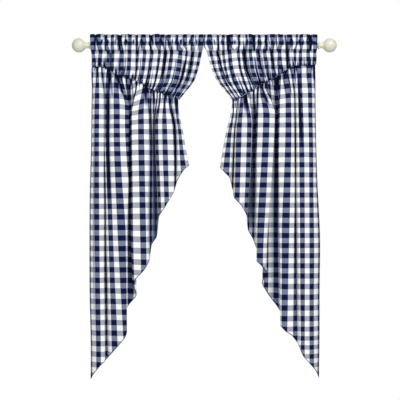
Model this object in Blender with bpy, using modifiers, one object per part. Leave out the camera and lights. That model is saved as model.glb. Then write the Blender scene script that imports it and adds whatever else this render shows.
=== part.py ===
"""A pair of gathered swag curtains hanging on a round rod with ball finials.

Metres, +Z up, +X to the right seen from the front, +Y towards the wall.
The origin is on the rod's axis, half way along it.

Each curtain is two pieces of cloth: a yoke, with a ruffled heading and a pocket for the
rod, and a gathered skirt sewn below it whose hem runs down to a point at the outer side.
All tables are in millimetres; "u" is a distance from the middle of the rod.
"""

import math

import bpy
import numpy as np

MM = 0.001

# Rod and finials
ROD_RADIUS = 10.5 * MM
ROD_HALF_LENGTH = 526.0 * MM
ROD_SIDES = 24
FINIAL_START = 526.4 * MM
BALL_CENTRE = 580.5 * MM
BALL_RADIUS = 33.0 * MM
FINIAL_SIDES = 18
BALL_STEPS = 8

# Cloth
CLOTH = 1.0 * MM
CLOTH_WIDTH = 916.0

# Heights, in millimetres from the rod's axis
HEADING_TOP = 51.0
POCKET_BOTTOM = -29.0
SEAM_GAP = 4.0
FOLD_START = 130.0

# From the back hem of the rod pocket, up over the heading and down its front:
# height, how far this layer stands off the middle of the heading, and how far it bulges
# round the rod
POCKET_SECTION = (
    # height  stand-off  bulge
    (-32.0, 2.4, 0.0),
    (-24.0, 2.4, 8.0),
    (-12.0, 2.4, 19.0),
    (5.0, 2.4, 20.0),
    (14.5, 2.4, 5.0),
    (31.0, 2.4, 0.0),
    (48.6, 2.4, 0.0),
    (HEADING_TOP, 0.0, 0.0),
    (48.6, -2.4, 0.0),
    (31.0, -2.4, 0.0),
    (14.5, -2.4, -5.0),
    (5.0, -2.4, -20.0),
    (-12.0, -2.4, -19.0),
    (-24.0, -2.4, -8.0),
)
HEADING_FULLNESS = 0.7
HEADING_MIDDLE = -5.0

# Rows and columns of the cloth grids
SKIRT_ROWS = 9
YOKE_ROWS = 5
ROUNDING = 13.0

# Heights at which the skirts' tables give u
SKIRT_LEVELS = (-120.0, -450.0, -900.0, -1450.0)

# One row for each corner of a fold, from the outer edge to the inner edge: depth towards
# the wall, distance along the cloth above and at the hem, u at the four levels, and the
# height of the hem there
LEFT_SKIRT = (
    # depth  top    hem    u at the four levels           hem height
    (8.0, 0.0, 0.0, 519.0, 525.0, 534.0, 526.0, -1546.0),
    (-16.0, 26.0, 26.0, 512.0, 518.0, 522.0, 514.0, -1521.0),
    (-33.0, 57.0, 57.0, 494.0, 499.0, 494.0, 485.0, -1484.0),
    (-26.0, 92.0, 96.0, 464.0, 464.0, 463.0, 458.0, -1460.0),
    (8.0, 124.0, 118.0, 458.0, 458.0, 456.0, 450.0, -1448.0),
    (-22.0, 150.0, 140.0, 462.0, 461.0, 452.0, 438.0, -1436.0),
    (-38.0, 222.0, 222.0, 406.0, 407.0, 387.0, 353.0, -1343.0),
    (-28.0, 282.0, 240.0, 343.0, 344.0, 350.0, 354.0, -1318.0),
    (6.0, 318.0, 286.0, 356.0, 359.0, 373.0, 376.0, -1262.0),
    (27.0, 340.0, 322.0, 342.0, 344.0, 354.0, 356.0, -1205.0),
    (5.0, 364.0, 362.0, 323.0, 325.0, 311.0, 306.0, -1155.0),
    (-24.0, 392.0, 388.0, 341.0, 343.0, 343.0, 330.0, -1101.0),
    (-37.0, 442.0, 442.0, 292.0, 290.0, 278.0, 264.0, -1037.0),
    (-26.0, 486.0, 474.0, 256.0, 250.0, 255.0, 252.0, -1000.0),
    (12.0, 528.0, 516.0, 250.0, 245.0, 251.0, 248.0, -965.0),
    (-16.0, 564.0, 556.0, 245.0, 241.0, 247.0, 245.0, -926.0),
    (-16.0, 596.0, 607.0, 239.0, 236.0, 217.0, 214.0, -884.0),
    (32.0, 656.0, 662.0, 234.0, 232.0, 213.0, 211.0, -840.0),
    (-20.0, 708.0, 708.0, 227.0, 227.0, 205.0, 202.0, -790.0),
    (-35.0, 772.0, 772.0, 190.0, 184.0, 170.0, 168.0, -740.0),
    (-24.0, 814.0, 806.0, 160.0, 140.0, 143.0, 141.0, -684.0),
    (6.0, 834.0, 828.0, 153.0, 132.0, 136.0, 134.0, -655.0),
    (-20.0, 856.0, 850.0, 146.0, 124.0, 125.0, 123.0, -621.0),
    (-24.0, 884.0, 884.0, 141.0, 107.0, 58.0, 50.0, -573.0),
    (-10.0, 916.0, 916.0, 137.0, 92.0, 0.0, 0.0, -556.0),
)
RIGHT_SKIRT = (
    # depth  top    hem    u at the four levels           hem height
    (8.0, 0.0, 0.0, 515.0, 517.0, 537.0, 532.0, -1538.0),
    (-16.0, 28.0, 28.0, 505.0, 509.0, 520.0, 517.0, -1504.0),
    (-33.0, 59.0, 59.0, 487.0, 492.0, 494.0, 494.0, -1479.0),
    (-34.0, 114.0, 114.0, 435.0, 449.0, 452.0, 451.0, -1430.0),
    (-28.0, 138.0, 140.0, 424.0, 427.0, 430.0, 438.0, -1394.0),
    (-8.0, 166.0, 160.0, 416.0, 421.0, 423.0, 430.0, -1372.0),
    (-29.0, 192.0, 180.0, 408.0, 415.0, 416.0, 409.0, -1344.0),
    (-38.0, 224.0, 224.0, 388.0, 391.0, 378.0, 364.0, -1316.0),
    (-28.0, 270.0, 246.0, 342.0, 336.0, 342.0, 349.0, -1290.0),
    (20.0, 314.0, 292.0, 360.0, 352.0, 368.0, 374.0, -1262.0),
    (44.0, 342.0, 338.0, 337.0, 331.0, 330.0, 332.0, -1199.0),
    (22.0, 376.0, 382.0, 320.0, 310.0, 292.0, 289.0, -1144.0),
    (28.0, 404.0, 420.0, 306.0, 292.0, 266.0, 264.0, -1104.0),
    (-20.0, 456.0, 466.0, 336.0, 328.0, 294.0, 280.0, -1045.0),
    (-37.0, 499.0, 499.0, 290.0, 284.0, 256.0, 246.0, -1008.0),
    (-27.0, 544.0, 516.0, 242.0, 237.0, 237.0, 235.0, -998.0),
    (14.0, 584.0, 560.0, 249.0, 245.0, 249.0, 247.0, -960.0),
    (42.0, 620.0, 606.0, 234.0, 230.0, 231.0, 230.0, -905.0),
    (44.0, 644.0, 660.0, 220.0, 215.0, 204.0, 202.0, -858.0),
    (-22.0, 702.0, 712.0, 228.0, 221.0, 191.0, 187.0, -790.0),
    (-36.0, 746.0, 746.0, 190.0, 184.0, 168.0, 166.0, -745.0),
    (-26.0, 790.0, 790.0, 162.0, 141.0, 134.0, 132.0, -706.0),
    (17.0, 830.0, 836.0, 160.0, 138.0, 126.0, 124.0, -668.0),
    (-20.0, 862.0, 874.0, 157.0, 127.0, 110.0, 106.0, -612.0),
    (-24.0, 886.0, 890.0, 156.0, 107.0, 62.0, 52.0, -588.0),
    (-10.0, 916.0, 916.0, 153.0, 91.0, 18.0, 10.0, -566.0),
)

# The seam between yoke and skirt: u and height
LEFT_SEAM = (
    (119.0, -251.0),
    (182.0, -226.0),
    (251.0, -201.0),
    (321.0, -161.0),
    (367.0, -147.0),
    (404.0, -137.0),
    (441.0, -118.0),
    (469.0, -99.0),
    (522.0, -97.0),
)
RIGHT_SEAM = (
    (137.0, -257.0),
    (179.0, -234.0),
    (235.0, -202.0),
    (267.0, -179.0),
    (327.0, -151.0),
    (387.0, -107.0),
    (429.0, -95.0),
    (517.0, -90.0),
)

# Heights at which the yokes' tables give u
YOKE_LEVELS = (51.0, -30.0, -110.0, -170.0, -255.0)

# One row for each ridge or valley of the gathers: depth in the lower part of the yoke,
# distance along the cloth from the outer edge, and u at the five levels
LEFT_YOKE = (
    # depth  cloth  u at the five levels
    (-2.0, 0.0, 524.0, 523.0, 520.0, 520.0, 520.0),
    (-13.0, 62.0, 478.0, 478.0, 482.0, 484.0, 486.0),
    (3.0, 122.0, 437.0, 437.0, 440.0, 446.0, 450.0),
    (-13.0, 178.0, 410.0, 410.0, 414.0, 420.0, 424.0),
    (3.0, 232.0, 382.0, 382.0, 383.0, 390.0, 396.0),
    (-14.0, 288.0, 350.0, 350.0, 351.0, 357.0, 368.0),
    (2.0, 344.0, 317.0, 317.0, 319.0, 327.0, 340.0),
    (-14.0, 400.0, 286.0, 287.0, 292.0, 305.0, 322.0),
    (3.0, 456.0, 252.0, 255.0, 263.0, 275.0, 302.0),
    (-15.0, 520.0, 214.0, 216.0, 226.0, 236.0, 272.0),
    (6.0, 588.0, 178.0, 180.0, 190.0, 203.0, 246.0),
    (-14.0, 652.0, 134.0, 134.0, 143.0, 155.0, 206.0),
    (4.0, 716.0, 86.0, 86.0, 97.0, 113.0, 160.0),
    (-10.0, 758.0, 68.0, 70.0, 82.0, 97.0, 146.0),
    (3.0, 800.0, 50.0, 52.0, 64.0, 80.0, 134.0),
    (-11.0, 858.0, 26.0, 33.0, 46.0, 64.0, 127.0),
    (-3.0, 916.0, 2.0, 9.0, 27.0, 47.0, 120.0),
)
RIGHT_YOKE = (
    # depth  cloth  u at the five levels
    (-2.0, 0.0, 522.0, 518.0, 516.0, 516.0, 516.0),
    (-13.0, 70.0, 478.0, 476.0, 475.0, 476.0, 478.0),
    (3.0, 132.0, 436.0, 436.0, 437.0, 440.0, 444.0),
    (-13.0, 186.0, 406.0, 407.0, 410.0, 414.0, 420.0),
    (2.0, 240.0, 376.0, 378.0, 384.0, 388.0, 394.0),
    (-14.0, 300.0, 342.0, 346.0, 352.0, 355.0, 362.0),
    (3.0, 360.0, 308.0, 312.0, 318.0, 322.0, 330.0),
    (-14.0, 412.0, 280.0, 283.0, 292.0, 302.0, 314.0),
    (3.0, 462.0, 251.0, 254.0, 267.0, 284.0, 298.0),
    (-15.0, 520.0, 218.0, 219.0, 228.0, 246.0, 270.0),
    (7.0, 580.0, 186.0, 186.0, 193.0, 214.0, 246.0),
    (-14.0, 644.0, 138.0, 138.0, 148.0, 166.0, 206.0),
    (3.0, 706.0, 86.0, 87.0, 96.0, 112.0, 168.0),
    (-12.0, 760.0, 68.0, 73.0, 84.0, 102.0, 158.0),
    (6.0, 812.0, 55.0, 60.0, 71.0, 91.0, 149.0),
    (-11.0, 864.0, 28.0, 37.0, 52.0, 75.0, 141.0),
    (-3.0, 916.0, 1.0, 11.0, 34.0, 60.0, 133.0),
)

COLLECTION = bpy.data.collections.new("swag_curtain_pair")


def start_empty():
    """Remove the objects of the opening scene and link the new collection."""
    for old in list(bpy.data.objects):
        bpy.data.objects.remove(old, do_unlink=True)
    bpy.context.scene.collection.children.link(COLLECTION)


def material(name, colour, roughness, metallic=0.0):
    """A Principled material of one colour."""
    mat = bpy.data.materials.new(name)
    mat.use_nodes = True
    mat.diffuse_color = (*colour, 1.0)
    shader = mat.node_tree.nodes["Principled BSDF"]
    shader.inputs["Base Color"].default_value = (*colour, 1.0)
    shader.inputs["Roughness"].default_value = roughness
    shader.inputs["Metallic"].default_value = metallic
    return mat


def add_object(name, mesh, mat):
    """Put a mesh into the collection as an object with one material."""
    mesh.materials.append(mat)
    obj = bpy.data.objects.new(name, mesh)
    COLLECTION.objects.link(obj)
    return obj


def smooth(mesh, angle=40.0):
    """Shade a mesh smooth, with edges steeper than the angle kept sharp."""
    mesh.shade_smooth()
    mesh.set_sharp_from_angle(angle=math.radians(angle))


def smoothstep(x, low, high):
    """0 below low, 1 above high, smooth in between."""
    t = np.clip((np.asarray(x, dtype=float) - low) / (high - low), 0.0, 1.0)
    return t * t * (3.0 - 2.0 * t)


def level_rows(table, first, levels, z):
    """Every row's u at one height: the columns from `first` on, interpolated in z."""
    down = [-level for level in levels]
    last = first + len(levels)
    return [np.interp(-z, down, row[first:last]) for row in table]


def rounded(s, corners_s, corners_value):
    """Piecewise-linear value at s along the cloth, with its corners rounded off."""
    total = 0.0
    weight_sum = 0.0
    for step in (-2, -1, 0, 1, 2):
        weight = 3.0 - abs(step)
        at = min(max(s + step * ROUNDING / 2.0, 2.0 * corners_s[0] - s), 2.0 * corners_s[-1] - s)
        total += weight * np.interp(at, corners_s, corners_value)
        weight_sum += weight
    return total / weight_sum


def columns(table, column):
    """Places along the cloth for a grid's columns: each corner and half way between."""
    corners = [row[column] for row in table]
    between = [(a + b) / 2.0 for a, b in zip(corners, corners[1:])]
    return sorted(corners + between)


def sheet(name, rows, mat):
    """A closed sheet of cloth from rows of points, thickened both ways from its middle.

    Each four-sided cell is split along its shorter diagonal, which keeps folds sharp.
    """
    height = len(rows)
    width = len(rows[0])
    points = [point for row in rows for point in row]
    faces = []
    for i in range(height - 1):
        for j in range(width - 1):
            a = i * width + j
            b, c, d = a + 1, a + width + 1, a + width
            if math.dist(points[a], points[c]) < math.dist(points[b], points[d]):
                faces += [(a, b, c), (a, c, d)]
            else:
                faces += [(a, b, d), (b, c, d)]
    mesh = bpy.data.meshes.new(name)
    mesh.from_pydata(points, [], faces)
    smooth(mesh, 180.0)
    obj = add_object(name, mesh, mat)
    solid = obj.modifiers.new("Thickness", "SOLIDIFY")
    solid.thickness = CLOTH
    solid.offset = 0.0
    solid.use_even_offset = False
    return obj


def skirt_point(table, seam, side, share, s_hem):
    """A point of a skirt: share 0 at the seam and 1 at the hem, s_hem along the hem."""
    hem_corners = [row[2] for row in table]
    hem_z = np.interp(s_hem, hem_corners, [row[7] for row in table])
    s_top = np.interp(s_hem, hem_corners, [row[1] for row in table])
    top_z = -150.0
    for _ in range(3):
        top_u = rounded(s_top, [row[1] for row in table], level_rows(table, 3, SKIRT_LEVELS, top_z))
        top_z = np.interp(top_u, [p[0] for p in seam], [p[1] for p in seam]) - SEAM_GAP
    z = top_z + (hem_z - top_z) * share
    s = s_top + (s_hem - s_top) * smoothstep(-z, 300.0, 900.0)
    corners = [row[1] + (row[2] - row[1]) * smoothstep(-z, 300.0, 900.0) for row in table]
    u = rounded(s, corners, level_rows(table, 3, SKIRT_LEVELS, z))
    fullness = 0.12 + 0.88 * smoothstep(top_z - z, 0.0, FOLD_START)
    depth = rounded(s, corners, [row[0] for row in table])
    return (side * u * MM, (depth * fullness - 2.0) * MM, z * MM)


def skirt(name, table, seam, side, mat):
    """The gathered skirt: columns run from the seam down to the slanting hem."""
    places = columns(table, 2)
    if side < 0:
        places = places[::-1]
    rows = []
    for i in range(SKIRT_ROWS + 1):
        share = i / SKIRT_ROWS
        rows.append([skirt_point(table, seam, side, share, s) for s in places])
    return sheet(name, rows[::-1], mat)


def plan(table, z):
    """The gathers' corners at one height: cloth, u and depth lists for a yoke."""
    cloth = [row[1] for row in table]
    return cloth, level_rows(table, 2, YOKE_LEVELS, z), [row[0] for row in table]


def heading_point(table, side, s, height, stand_off, bulge):
    """A point of the heading or rod pocket, offset squarely from the gathered middle."""
    cloth, us, depths = plan(table, height)
    span = 12.0
    u = rounded(s, cloth, us)
    depth = (rounded(s, cloth, depths) - HEADING_MIDDLE) * HEADING_FULLNESS
    before = max(s - span, 0.0)
    after = min(s + span, CLOTH_WIDTH)
    du = rounded(after, cloth, us) - rounded(before, cloth, us)
    dy = (rounded(after, cloth, depths) - rounded(before, cloth, depths)) * HEADING_FULLNESS
    length = math.hypot(du, dy)
    u += stand_off * dy / length
    depth -= stand_off * du / length
    return (side * u * MM, (depth + bulge) * MM, height * MM)


def yoke_point(table, seam, side, s, share):
    """A point of the yoke below its rod pocket: share 0 at the pocket, 1 at the seam."""
    bottom = -170.0
    for _ in range(3):
        cloth, us, depths = plan(table, bottom)
        u = rounded(s, cloth, us)
        bottom = float(np.interp(u, [p[0] for p in seam], [p[1] for p in seam]))
    z = POCKET_BOTTOM + (bottom - POCKET_BOTTOM) * share
    cloth, us, depths = plan(table, z)
    u = rounded(s, cloth, us)
    top_depth = (rounded(s, cloth, depths) - HEADING_MIDDLE) * HEADING_FULLNESS - 2.4
    low_depth = rounded(s, cloth, depths) * 1.3 - 6.0
    seam_depth = rounded(s, cloth, depths) * 0.35 - 3.0
    depth = top_depth + (low_depth - top_depth) * smoothstep(share, 0.0, 0.45)
    depth += (seam_depth - depth) * smoothstep(share, 0.55, 1.0)
    return (side * u * MM, float(depth) * MM, z * MM)


def yoke(name, table, seam, side, mat):
    """The gathered yoke, one strip from the back hem of its pocket to the seam."""
    places = columns(table, 1)
    if side < 0:
        places = places[::-1]
    rows = []
    for height, stand_off, bulge in POCKET_SECTION:
        rows.append([heading_point(table, side, s, height, stand_off, bulge) for s in places])
    for i in range(YOKE_ROWS + 1):
        share = i / YOKE_ROWS
        rows.append([yoke_point(table, seam, side, s, share) for s in places])
    return sheet(name, rows, mat)


def rod(mat):
    """The round rod inside both pockets."""
    bpy.ops.mesh.primitive_cylinder_add(
        vertices=ROD_SIDES, radius=ROD_RADIUS, depth=2.0 * ROD_HALF_LENGTH
    )
    obj = bpy.context.active_object
    for collection in list(obj.users_collection):
        collection.objects.unlink(obj)
    COLLECTION.objects.link(obj)
    obj.name = "rod"
    obj.data.name = "rod"
    obj.rotation_euler = (0.0, math.pi / 2.0, 0.0)
    smooth(obj.data)
    obj.data.materials.append(mat)
    return obj


def finial_profile():
    """Radius and height of a ball finial, from the ball's top down to its flange."""
    centre = BALL_CENTRE - FINIAL_START
    profile = []
    for i in range(BALL_STEPS + 1):
        angle = math.radians(148.0) * i / BALL_STEPS
        profile.append((BALL_RADIUS * math.sin(angle), centre + BALL_RADIUS * math.cos(angle)))
    for radius, height in ((14.2, 18.0), (13.4, 11.0), (14.5, 6.5), (18.4, 4.6), (18.4, 0.0), (0.0, 0.0)):
        profile.append((radius * MM, height * MM))
    return profile


def finial(name, side, mat):
    """A turned ball finial, its axis along the rod."""
    profile = finial_profile()
    mesh = bpy.data.meshes.new(name)
    points = [(radius, 0.0, height) for radius, height in profile]
    mesh.from_pydata(points, [(i, i + 1) for i in range(len(points) - 1)], [])
    obj = add_object(name, mesh, mat)
    screw = obj.modifiers.new("Turned", "SCREW")
    screw.steps = FINIAL_SIDES
    screw.render_steps = FINIAL_SIDES
    screw.use_merge_vertices = True
    screw.merge_threshold = 0.00001
    screw.use_smooth_shade = True
    obj.location = (side * FINIAL_START, 0.0, 0.0)
    obj.rotation_euler = (0.0, side * math.pi / 2.0, 0.0)
    return obj


def main():
    """Build the curtain pair."""
    start_empty()
    gingham = material("gingham_cotton", (0.27, 0.29, 0.35), 0.9)
    painted_wood = material("ivory_painted_wood", (0.74, 0.71, 0.57), 0.4)
    painted_steel = material("ivory_painted_steel", (0.74, 0.71, 0.57), 0.35)
    rod(painted_steel)
    finial("finial_left", -1, painted_wood)
    finial("finial_right", 1, painted_wood)
    yoke("yoke_left", LEFT_YOKE, LEFT_SEAM, -1, gingham)
    yoke("yoke_right", RIGHT_YOKE, RIGHT_SEAM, 1, gingham)
    skirt("skirt_left", LEFT_SKIRT, LEFT_SEAM, -1, gingham)
    skirt("skirt_right", RIGHT_SKIRT, RIGHT_SEAM, 1, gingham)


main()
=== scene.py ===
"""Looks for a pair of gathered gingham swag curtains on a rod with ball finials.

Metres, +Z up, +X to the right seen from the front, +Y towards the wall.
The tables are in millimetres; "u" is a distance from the middle of the rod, and a
distance along the cloth is counted from a curtain's outer edge.
"""

import math
from collections import namedtuple

import bpy
import numpy as np
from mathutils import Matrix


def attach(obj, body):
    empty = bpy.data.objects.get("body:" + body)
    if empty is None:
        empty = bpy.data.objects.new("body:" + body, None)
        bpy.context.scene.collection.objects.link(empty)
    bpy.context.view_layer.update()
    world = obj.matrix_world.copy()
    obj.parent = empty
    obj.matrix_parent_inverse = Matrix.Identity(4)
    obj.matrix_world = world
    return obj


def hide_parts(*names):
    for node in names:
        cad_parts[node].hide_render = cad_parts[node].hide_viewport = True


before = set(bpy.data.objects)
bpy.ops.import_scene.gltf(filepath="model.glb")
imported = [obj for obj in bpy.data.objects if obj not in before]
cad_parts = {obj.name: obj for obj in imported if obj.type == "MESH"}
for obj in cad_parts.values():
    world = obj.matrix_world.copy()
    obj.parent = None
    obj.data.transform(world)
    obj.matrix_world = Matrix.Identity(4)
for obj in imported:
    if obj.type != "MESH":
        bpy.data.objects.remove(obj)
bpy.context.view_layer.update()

MM = 0.001

CLOTH_WIDTH = 916.0
CLOTH_THICKNESS = 0.7
CHECK = 55.0
HEM_TURN = 9.0
HEM_GAP = 1.2

# Grids
SKIRT_COLUMNS = 384
SKIRT_ROWS = 104
YOKE_COLUMNS = 384
SECTION_ROWS = 56
LOWER_ROWS = 44

# Rounding of corners in the tables, in grid steps, and how far one level of a table
# blends into the next
SKIRT_ROUNDING = 2.8
SKIRT_BLUR = 70.0
YOKE_ROUNDING = 4.0
YOKE_BLUR = 12.0
DEPTH_ROUNDING = 3.0
GATHER_ROUNDING = 8.0
EDGE_ROUNDING = 4.0
SECTION_ROUNDING = 0.9

# Heights from the rod's axis
HEADING_TOP = 51.0
RUFFLE_START = 30.0
STITCHING = 12.0
POCKET_BOTTOM = -29.0
POCKET_STITCHING = -33.0

# Rows of the skirts' grids that are close together: below the seam, and above the hem
SEAM_DROPS = (0.0, 2.5, 6.0, 11.0, 17.0, 24.0, 32.0, 41.0)
HEM_DROPS = (9.0, 6.0, 3.0, 0.0)

# How far below the seam the folds reach their full depth, and their own course
FOLD_START = 130.0
FOLD_COURSE = 150.0

# How the seam's edges turn back: the skirt's first row, then one step of an allowance
SEAM_TUCK = (0.0, 3.0, 0.3)
ALLOWANCE_STEP = (0.0, 3.0, 0.4)

# Gathers along the cloth. `slip` is the share by which the cloth is drawn sideways into a
# valley, `shade` how much shade is painted in the valley, and `width` its half width as a
# share of the pitch; the pocket's gathers are drawn sideways with the heading's
Gather = namedtuple("Gather", "pitch seed depth slip shade width")
SKIRT_GATHER = Gather(52.0, 0.0, 8.0, 0.55, 1.9, 0.16)
SKIRT_PUCKER = Gather(27.0, 2.0, 3.0, 0.50, 1.4, 0.19)
# No depth: only painted shade, standing for fine puckers right below the seam
SKIRT_SEAM_SHADE = Gather(19.0, 5.0, 0.0, 0.0, 0.5, 0.30)
HEADING_GATHER = Gather(49.0, 0.0, 7.5, 0.72, 1.9, 0.24)
POCKET_GATHER = Gather(49.0, 0.0, 2.6, 0.0, 1.4, 0.15)
STITCHED_GATHER = Gather(23.0, 1.0, 2.6, 0.0, 1.6, 0.24)
YOKE_PUCKER = Gather(24.0, 3.0, 3.0, 0.60, 2.0, 0.22)
YOKE_GATHER = Gather(56.0, 4.0, 2.6, 0.45, 1.3, 0.12)
# No depth: only painted shade, standing for fine puckers right above the seam
YOKE_SEAM_SHADE = Gather(19.0, 6.0, 0.0, 0.0, 0.7, 0.30)

# Rod ends and finials
FINIAL_START = 526.4
BALL_CENTRE = 580.5
BALL_RADIUS = 33.0
BALL_ARC = 148.0
BALL_STEPS = 36
FINIAL_SIDES = 72

# Colours of the cloth: undyed, only the warp dyed, only the weft dyed and both dyed
WHITE = (0.88, 0.875, 0.82, 1.0)
WARP_ONLY = (0.158, 0.187, 0.286, 1.0)
WEFT_ONLY = (0.342, 0.362, 0.418, 1.0)
NAVY = (0.0040, 0.0072, 0.042, 1.0)

# Painted shade in the folds: what the colours are multiplied by in half shade, and the
# colour painted at the bottom of a crease
DUSK = (0.30, 0.37, 0.60, 1.0)
DEEP = (0.0022, 0.0032, 0.012, 1.0)

# Half width of the dyed bands and the softness of their edges, as shares of a repeat
WARP_BAND = (0.250, 0.014)
WEFT_BAND = (0.256, 0.016)

# Threads to a repeat of the checks
THREADS_ACROSS = 70.0
THREADS_DOWN = 64.0

# Depth of the fine relief of cloth and enamel, in metres
BUMP_DEPTH = 0.0004

IVORY = (0.598, 0.588, 0.475, 1.0)
PALE_FLOOR = (0.86, 0.86, 0.85, 1.0)
PURE_WHITE = (1.0, 1.0, 1.0, 1.0)

# Studio, in metres and watts
CAMERA_DISTANCE = 5.5
SENSOR_WIDTH = 36.0
FRAME_WIDTH = 1.852
FRAME_CENTRE = (-0.020, -0.716)
FLOOR_HEIGHT = -1.95
FLOOR_SIDE = 3.2
FLOOR_FRONT = -3.8
FLOOR_BACK = 1.5
SURROUND_LIGHT = 0.40
LIGHTS = (
    # name, place, target, size, power
    ("key", (1.3, -3.2, 2.0), (0.0, 0.0, -0.6), 2.2, 143.0),
    ("fill", (-2.0, -3.8, 0.2), (0.0, 0.0, -0.7), 2.6, 47.0),
    ("rear", (0.6, 3.2, 0.8), (0.0, 0.0, -0.6), 2.6, 60.0),
)

# From the back hem of the rod pocket, up over the heading and down its front:
# height, how far this layer stands off the middle of the heading, and how far it bulges
# round the rod
STAND_OFF = 2.4
POCKET_SECTION = (
    # height  stand-off  bulge
    (-32.0, STAND_OFF, 0.0),
    (-24.0, STAND_OFF, 8.0),
    (-12.0, STAND_OFF, 19.0),
    (5.0, STAND_OFF, 20.0),
    (14.5, STAND_OFF, 5.0),
    (31.0, STAND_OFF, 0.0),
    (48.6, STAND_OFF, 0.0),
    (HEADING_TOP, 0.0, 0.0),
    (48.6, -STAND_OFF, 0.0),
    (31.0, -STAND_OFF, 0.0),
    (14.5, -STAND_OFF, -5.0),
    (5.0, -STAND_OFF, -20.0),
    (-12.0, -STAND_OFF, -19.0),
    (-24.0, -STAND_OFF, -8.0),
    (POCKET_BOTTOM, -STAND_OFF, -2.0),
)

# The finial's neck and flange, from the ball to the cloth: radius, and distance along
# the axis from the flange's face
NECK_PROFILE = (
    (15.6, 24.4), (14.4, 20.0), (13.6, 15.5), (13.4, 11.0), (13.8, 8.2), (14.8, 6.6),
    (15.4, 6.0), (17.2, 5.6), (18.1, 4.7), (18.4, 3.4), (18.4, 1.4), (17.8, 0.4),
    (16.6, 0.0), (0.0, 0.0),
)

# Heights at which the skirts' tables give u
SKIRT_LEVELS = (-120.0, -450.0, -900.0, -1450.0)

# One row for each corner of a fold, from the outer edge to the inner edge: depth towards
# the wall, distance along the cloth above and at the hem, u at the four levels, and the
# height of the hem there
LEFT_SKIRT = (
    # depth  top    hem    u at the four levels           hem height
    (8.0, 0.0, 0.0, 519.0, 525.0, 534.0, 526.0, -1546.0),
    (-16.0, 26.0, 26.0, 512.0, 518.0, 522.0, 514.0, -1521.0),
    (-33.0, 57.0, 57.0, 494.0, 499.0, 494.0, 485.0, -1484.0),
    (-26.0, 92.0, 96.0, 464.0, 464.0, 463.0, 458.0, -1460.0),
    (8.0, 124.0, 118.0, 458.0, 458.0, 456.0, 450.0, -1448.0),
    (-22.0, 150.0, 140.0, 462.0, 461.0, 452.0, 438.0, -1436.0),
    (-38.0, 222.0, 222.0, 406.0, 407.0, 387.0, 353.0, -1343.0),
    (-28.0, 282.0, 240.0, 343.0, 344.0, 350.0, 354.0, -1318.0),
    (6.0, 318.0, 286.0, 356.0, 359.0, 373.0, 376.0, -1262.0),
    (27.0, 340.0, 322.0, 342.0, 344.0, 354.0, 356.0, -1205.0),
    (5.0, 364.0, 362.0, 323.0, 325.0, 311.0, 306.0, -1155.0),
    (-24.0, 392.0, 388.0, 341.0, 343.0, 343.0, 330.0, -1101.0),
    (-37.0, 442.0, 442.0, 292.0, 290.0, 278.0, 264.0, -1037.0),
    (-26.0, 486.0, 474.0, 256.0, 250.0, 255.0, 252.0, -1000.0),
    (12.0, 528.0, 516.0, 250.0, 245.0, 251.0, 248.0, -965.0),
    (-16.0, 564.0, 556.0, 245.0, 241.0, 247.0, 245.0, -926.0),
    (-16.0, 596.0, 607.0, 239.0, 236.0, 217.0, 214.0, -884.0),
    (32.0, 656.0, 662.0, 234.0, 232.0, 213.0, 211.0, -840.0),
    (-20.0, 708.0, 708.0, 227.0, 227.0, 205.0, 202.0, -790.0),
    (-35.0, 772.0, 772.0, 190.0, 184.0, 170.0, 168.0, -740.0),
    (-24.0, 814.0, 806.0, 160.0, 140.0, 143.0, 141.0, -684.0),
    (6.0, 834.0, 828.0, 153.0, 132.0, 136.0, 134.0, -655.0),
    (-20.0, 856.0, 850.0, 146.0, 124.0, 125.0, 123.0, -621.0),
    (-24.0, 884.0, 884.0, 141.0, 107.0, 58.0, 50.0, -573.0),
    (-10.0, 916.0, 916.0, 137.0, 92.0, 0.0, 0.0, -556.0),
)
RIGHT_SKIRT = (
    # depth  top    hem    u at the four levels           hem height
    (8.0, 0.0, 0.0, 515.0, 517.0, 537.0, 532.0, -1538.0),
    (-16.0, 28.0, 28.0, 505.0, 509.0, 520.0, 517.0, -1504.0),
    (-33.0, 59.0, 59.0, 487.0, 492.0, 494.0, 494.0, -1479.0),
    (-34.0, 114.0, 114.0, 435.0, 449.0, 452.0, 451.0, -1430.0),
    (-28.0, 138.0, 140.0, 424.0, 427.0, 430.0, 438.0, -1394.0),
    (-8.0, 166.0, 160.0, 416.0, 421.0, 423.0, 430.0, -1372.0),
    (-29.0, 192.0, 180.0, 408.0, 415.0, 416.0, 409.0, -1344.0),
    (-38.0, 224.0, 224.0, 388.0, 391.0, 378.0, 364.0, -1316.0),
    (-28.0, 270.0, 246.0, 342.0, 336.0, 342.0, 349.0, -1290.0),
    (20.0, 314.0, 292.0, 360.0, 352.0, 368.0, 374.0, -1262.0),
    (44.0, 342.0, 338.0, 337.0, 331.0, 330.0, 332.0, -1199.0),
    (22.0, 376.0, 382.0, 320.0, 310.0, 292.0, 289.0, -1144.0),
    (28.0, 404.0, 420.0, 306.0, 292.0, 266.0, 264.0, -1104.0),
    (-20.0, 456.0, 466.0, 336.0, 328.0, 294.0, 280.0, -1045.0),
    (-37.0, 499.0, 499.0, 290.0, 284.0, 256.0, 246.0, -1008.0),
    (-27.0, 544.0, 516.0, 242.0, 237.0, 237.0, 235.0, -998.0),
    (14.0, 584.0, 560.0, 249.0, 245.0, 249.0, 247.0, -960.0),
    (42.0, 620.0, 606.0, 234.0, 230.0, 231.0, 230.0, -905.0),
    (44.0, 644.0, 660.0, 220.0, 215.0, 204.0, 202.0, -858.0),
    (-22.0, 702.0, 712.0, 228.0, 221.0, 191.0, 187.0, -790.0),
    (-36.0, 746.0, 746.0, 190.0, 184.0, 168.0, 166.0, -745.0),
    (-26.0, 790.0, 790.0, 162.0, 141.0, 134.0, 132.0, -706.0),
    (17.0, 830.0, 836.0, 160.0, 138.0, 126.0, 124.0, -668.0),
    (-20.0, 862.0, 874.0, 157.0, 127.0, 110.0, 106.0, -612.0),
    (-24.0, 886.0, 890.0, 156.0, 107.0, 62.0, 52.0, -588.0),
    (-10.0, 916.0, 916.0, 153.0, 91.0, 18.0, 10.0, -566.0),
)

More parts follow.
